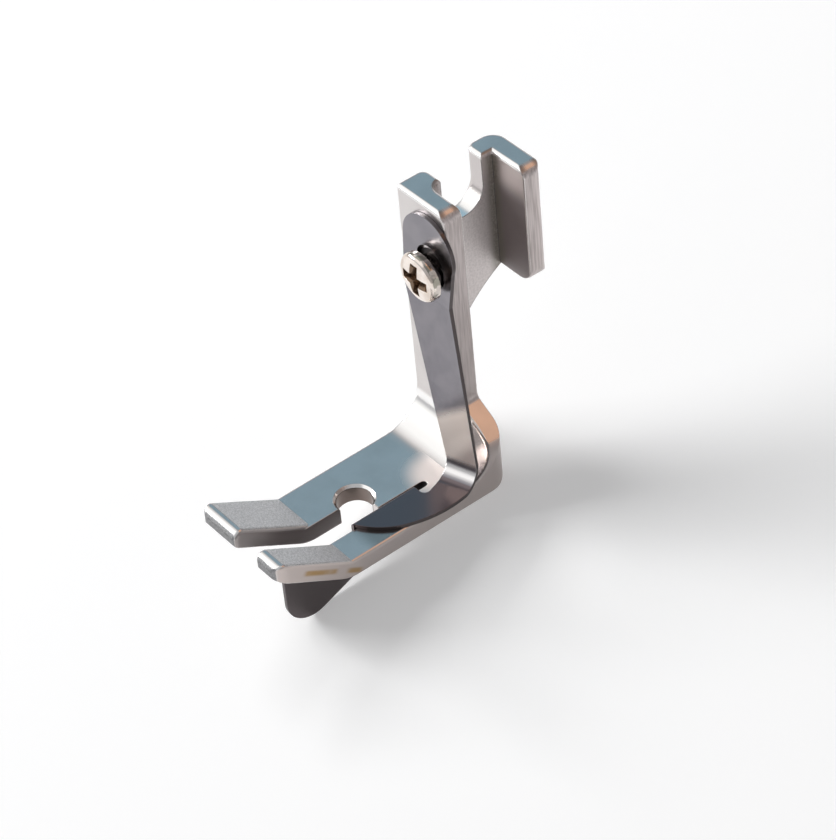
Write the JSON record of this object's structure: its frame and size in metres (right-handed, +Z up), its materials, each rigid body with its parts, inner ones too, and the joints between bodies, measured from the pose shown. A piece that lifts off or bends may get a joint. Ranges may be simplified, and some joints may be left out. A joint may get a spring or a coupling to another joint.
{
  "type": "sewing machine presser foot",
  "caption": "Side-clamping presser foot with a slotted clamp shank, split upturned toes and a folded spring-leaf guide blade held by a shoulder screw.",
  "frame": {"origin": "axis of the clamp notch's half-round bottom, on the face of the web that seats against the presser bar", "axes": "+X from the web into the presser-bar channel, towards the sewer's right; -Y from the heel to the toes; +Z up along the presser bar"},
  "size_m": [0.0126, 0.0375, 0.0357],
  "materials": {
    "foot_steel": "satin polished",
    "leaf_steel": "blued spring steel",
    "screw_steel": "bright nickel plate"
  },
  "bodies": {
    "foot": {"foot_body": "foot_steel", "guide_screw": "screw_steel"},
    "guide": {"guide_leaf": "leaf_steel"}
  },
  "joints": [
    {"name": "guide_lift", "type": "hinge", "parent": "foot", "child": "guide", "pos_m": [0.0023, -0.00582, 0.0022], "axis": [-1, 0, 0], "range_deg": [0, 5.2], "stiffness_Nm_per_rad": 0.2, "springref_deg": -1.72}
  ]
}
